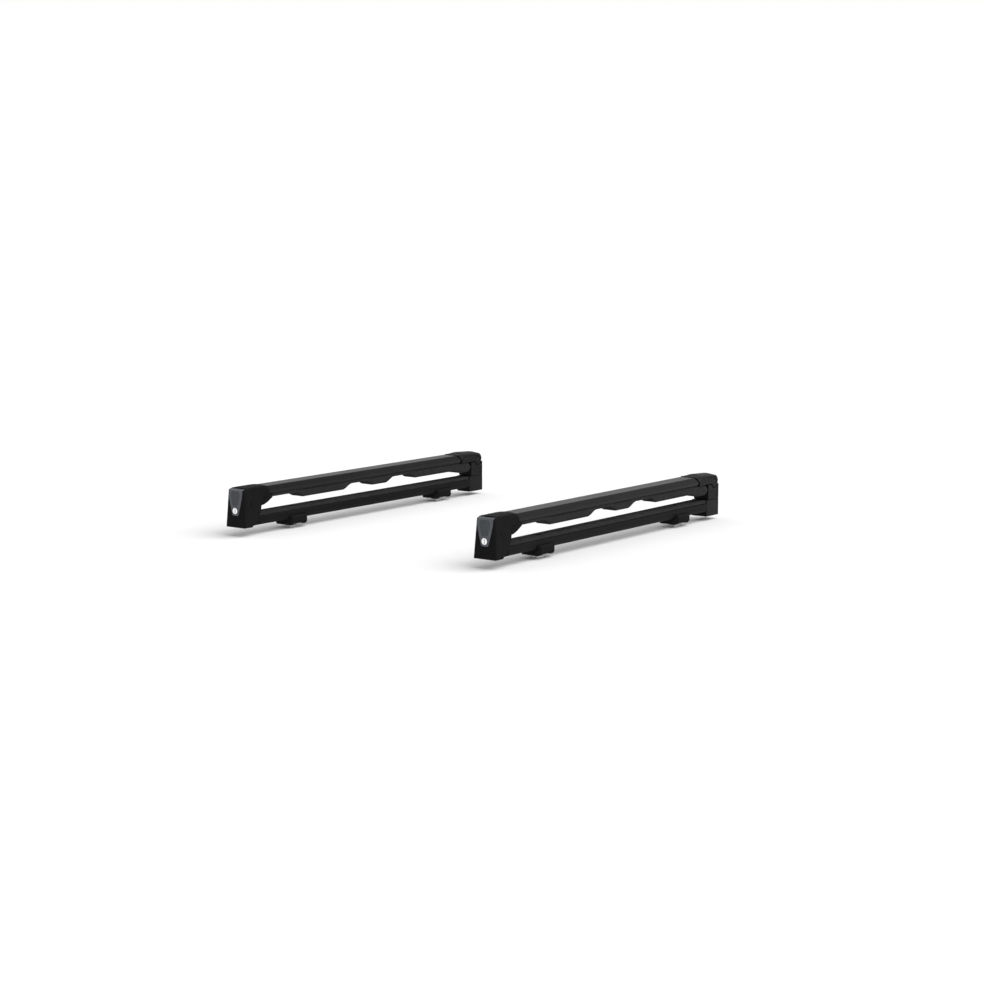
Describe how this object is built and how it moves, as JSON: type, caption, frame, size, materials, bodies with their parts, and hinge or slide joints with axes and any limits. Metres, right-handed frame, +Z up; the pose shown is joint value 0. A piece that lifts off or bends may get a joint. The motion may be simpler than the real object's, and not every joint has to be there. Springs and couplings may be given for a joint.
{
  "type": "roof ski rack",
  "caption": "Lockable roof ski carrier pair: long hinged clamping arms with soft pads over fixed rails, push-button latches, key locks and T-track feet.",
  "frame": {"origin": "middle of the bottom of the bounding box, on the undersides of the T-track nuts, midway between the two carriers", "axes": "+Z up; +X along the carriers from the lock end to the hinge end, across the car; +Y from the front carrier to the rear one"},
  "size_m": [0.888, 0.759, 0.113],
  "materials": {
    "rail": "satin black powder-coated aluminium extrusion",
    "plastic": "fine-grained black glass-filled nylon",
    "button": "satin slate-grey moulded plastic",
    "rubber": "soft matt black rubber",
    "steel": "zinc-plated steel",
    "pin_black": "black oxide steel",
    "chrome": "satin nickel-plated lock face"
  },
  "bodies": {
    "base": {"front_lower_rail": "rail", "front_lower_pad": "rubber", "front_lower_end_block": "plastic", "front_striker_plate": "steel", "front_post_guide": "plastic", "front_spring_rod": "steel", "front_foot_bracket_lock": "plastic", "front_foot_pad_lock_outer": "rubber", "front_foot_pad_lock_inner": "rubber", "front_foot_bracket_hinge": "plastic", "front_foot_pad_hinge_outer": "rubber", "front_foot_pad_hinge_inner": "rubber", "rear_lower_rail": "rail", "rear_lower_pad": "rubber", "rear_lower_end_block": "plastic", "rear_striker_plate": "steel", "rear_post_guide": "plastic", "rear_spring_rod": "steel", "rear_foot_bracket_lock": "plastic", "rear_foot_pad_lock_outer": "rubber", "rear_foot_pad_lock_inner": "rubber", "rear_foot_bracket_hinge": "plastic", "rear_foot_pad_hinge_outer": "rubber", "rear_foot_pad_hinge_inner": "rubber"},
    "front_post": {"front_hinge_post": "plastic", "front_hinge_pin": "pin_black", "front_lift_spring": "steel"},
    "front_arm": {"front_upper_rail": "rail", "front_upper_pad": "rubber", "front_hinge_cap": "plastic", "front_lock_housing": "plastic", "front_housing_cover": "plastic", "front_latch_pin": "pin_black"},
    "front_button": {"front_release_button": "button", "front_button_spring": "steel"},
    "front_lock": {"front_lock_cylinder": "chrome", "front_lock_cam": "steel"},
    "front_latch": {"front_latch_hook": "steel"},
    "front_lock_screw": {"front_clamp_screw_lock": "steel"},
    "front_lock_nut": {"front_track_nut_lock": "steel"},
    "front_hinge_screw": {"front_clamp_screw_hinge": "steel"},
    "front_hinge_nut": {"front_track_nut_hinge": "steel"},
    "rear_post": {"rear_hinge_post": "plastic", "rear_hinge_pin": "pin_black", "rear_lift_spring": "steel"},
    "rear_arm": {"rear_upper_rail": "rail", "rear_upper_pad": "rubber", "rear_hinge_cap": "plastic", "rear_lock_housing": "plastic", "rear_housing_cover": "plastic", "rear_latch_pin": "pin_black"},
    "rear_button": {"rear_release_button": "button", "rear_button_spring": "steel"},
    "rear_lock": {"rear_lock_cylinder": "chrome", "rear_lock_cam": "steel"},
    "rear_latch": {"rear_latch_hook": "steel"},
    "rear_lock_screw": {"rear_clamp_screw_lock": "steel"},
    "rear_lock_nut": {"rear_track_nut_lock": "steel"},
    "rear_hinge_screw": {"rear_clamp_screw_hinge": "steel"},
    "rear_hinge_nut": {"rear_track_nut_hinge": "steel"}
  },
  "joints": [
    {"name": "front_post_lift", "type": "slide", "parent": "base", "child": "front_post", "axis": [0, 0, 1], "range_m": [0, 0.028], "stiffness_N_per_m": 400, "springref_m": -0.01, "deforming": ["front_lift_spring"]},
    {"name": "front_arm_hinge", "type": "hinge", "parent": "front_post", "child": "front_arm", "pos_m": [0.424, -0.35, 0.091], "axis": [0, 1, 0], "range_deg": [0, 75]},
    {"name": "front_button_press", "type": "slide", "parent": "front_arm", "child": "front_button", "axis": [1, 0, 0], "range_m": [0, 0.004], "stiffness_N_per_m": 900, "springref_m": -0.002, "deforming": ["front_button_spring"]},
    {"name": "front_latch_release", "type": "hinge", "parent": "front_arm", "child": "front_latch", "pos_m": [-0.4215, -0.35, 0.074], "axis": [0, 1, 0], "range_deg": [0, 14]},
    {"name": "front_key_turn", "type": "hinge", "parent": "front_button", "child": "front_lock", "pos_m": [-0.4435, -0.35, 0.058], "axis": [1, 0, 0], "range_deg": [0, 90]},
    {"name": "front_lock_foot_screw_turn", "type": "hinge", "parent": "base", "child": "front_lock_screw", "pos_m": [-0.2575, -0.35, 0.023], "axis": [0, 0, 1], "range_deg": [0, 360]},
    {"name": "front_lock_foot_nut_rise", "type": "slide", "parent": "base", "child": "front_lock_nut", "axis": [0, 0, 1], "range_m": [0, 0.00126]},
    {"name": "front_hinge_foot_screw_turn", "type": "hinge", "parent": "base", "child": "front_hinge_screw", "pos_m": [0.2785, -0.35, 0.023], "axis": [0, 0, 1], "range_deg": [0, 360]},
    {"name": "front_hinge_foot_nut_rise", "type": "slide", "parent": "base", "child": "front_hinge_nut", "axis": [0, 0, 1], "range_m": [0, 0.00126]},
    {"name": "rear_post_lift", "type": "slide", "parent": "base", "child": "rear_post", "axis": [0, 0, 1], "range_m": [0, 0.028], "stiffness_N_per_m": 400, "springref_m": -0.01, "deforming": ["rear_lift_spring"]},
    {"name": "rear_arm_hinge", "type": "hinge", "parent": "rear_post", "child": "rear_arm", "pos_m": [0.424, 0.35, 0.091], "axis": [0, 1, 0], "range_deg": [0, 75]},
    {"name": "rear_button_press", "type": "slide", "parent": "rear_arm", "child": "rear_button", "axis": [1, 0, 0], "range_m": [0, 0.004], "stiffness_N_per_m": 900, "springref_m": -0.002, "deforming": ["rear_button_spring"]},
    {"name": "rear_latch_release", "type": "hinge", "parent": "rear_arm", "child": "rear_latch", "pos_m": [-0.4215, 0.35, 0.074], "axis": [0, 1, 0], "range_deg": [0, 14]},
    {"name": "rear_key_turn", "type": "hinge", "parent": "rear_button", "child": "rear_lock", "pos_m": [-0.4435, 0.35, 0.058], "axis": [1, 0, 0], "range_deg": [0, 90]},
    {"name": "rear_lock_foot_screw_turn", "type": "hinge", "parent": "base", "child": "rear_lock_screw", "pos_m": [-0.2575, 0.35, 0.023], "axis": [0, 0, 1], "range_deg": [0, 360]},
    {"name": "rear_lock_foot_nut_rise", "type": "slide", "parent": "base", "child": "rear_lock_nut", "axis": [0, 0, 1], "range_m": [0, 0.00126]},
    {"name": "rear_hinge_foot_screw_turn", "type": "hinge", "parent": "base", "child": "rear_hinge_screw", "pos_m": [0.2785, 0.35, 0.023], "axis": [0, 0, 1], "range_deg": [0, 360]},
    {"name": "rear_hinge_foot_nut_rise", "type": "slide", "parent": "base", "child": "rear_hinge_nut", "axis": [0, 0, 1], "range_m": [0, 0.00126]}
  ],
  "couplings": [
    {"joint": "front_latch_release", "follows": "front_button_press", "rad_per_m": 61},
    {"joint": "front_lock_foot_nut_rise", "follows": "front_lock_foot_screw_turn", "m_per_rad": 0.000199},
    {"joint": "front_hinge_foot_nut_rise", "follows": "front_hinge_foot_screw_turn", "m_per_rad": 0.000199},
    {"joint": "rear_latch_release", "follows": "rear_button_press", "rad_per_m": 61},
    {"joint": "rear_lock_foot_nut_rise", "follows": "rear_lock_foot_screw_turn", "m_per_rad": 0.000199},
    {"joint": "rear_hinge_foot_nut_rise", "follows": "rear_hinge_foot_screw_turn", "m_per_rad": 0.000199}
  ]
}
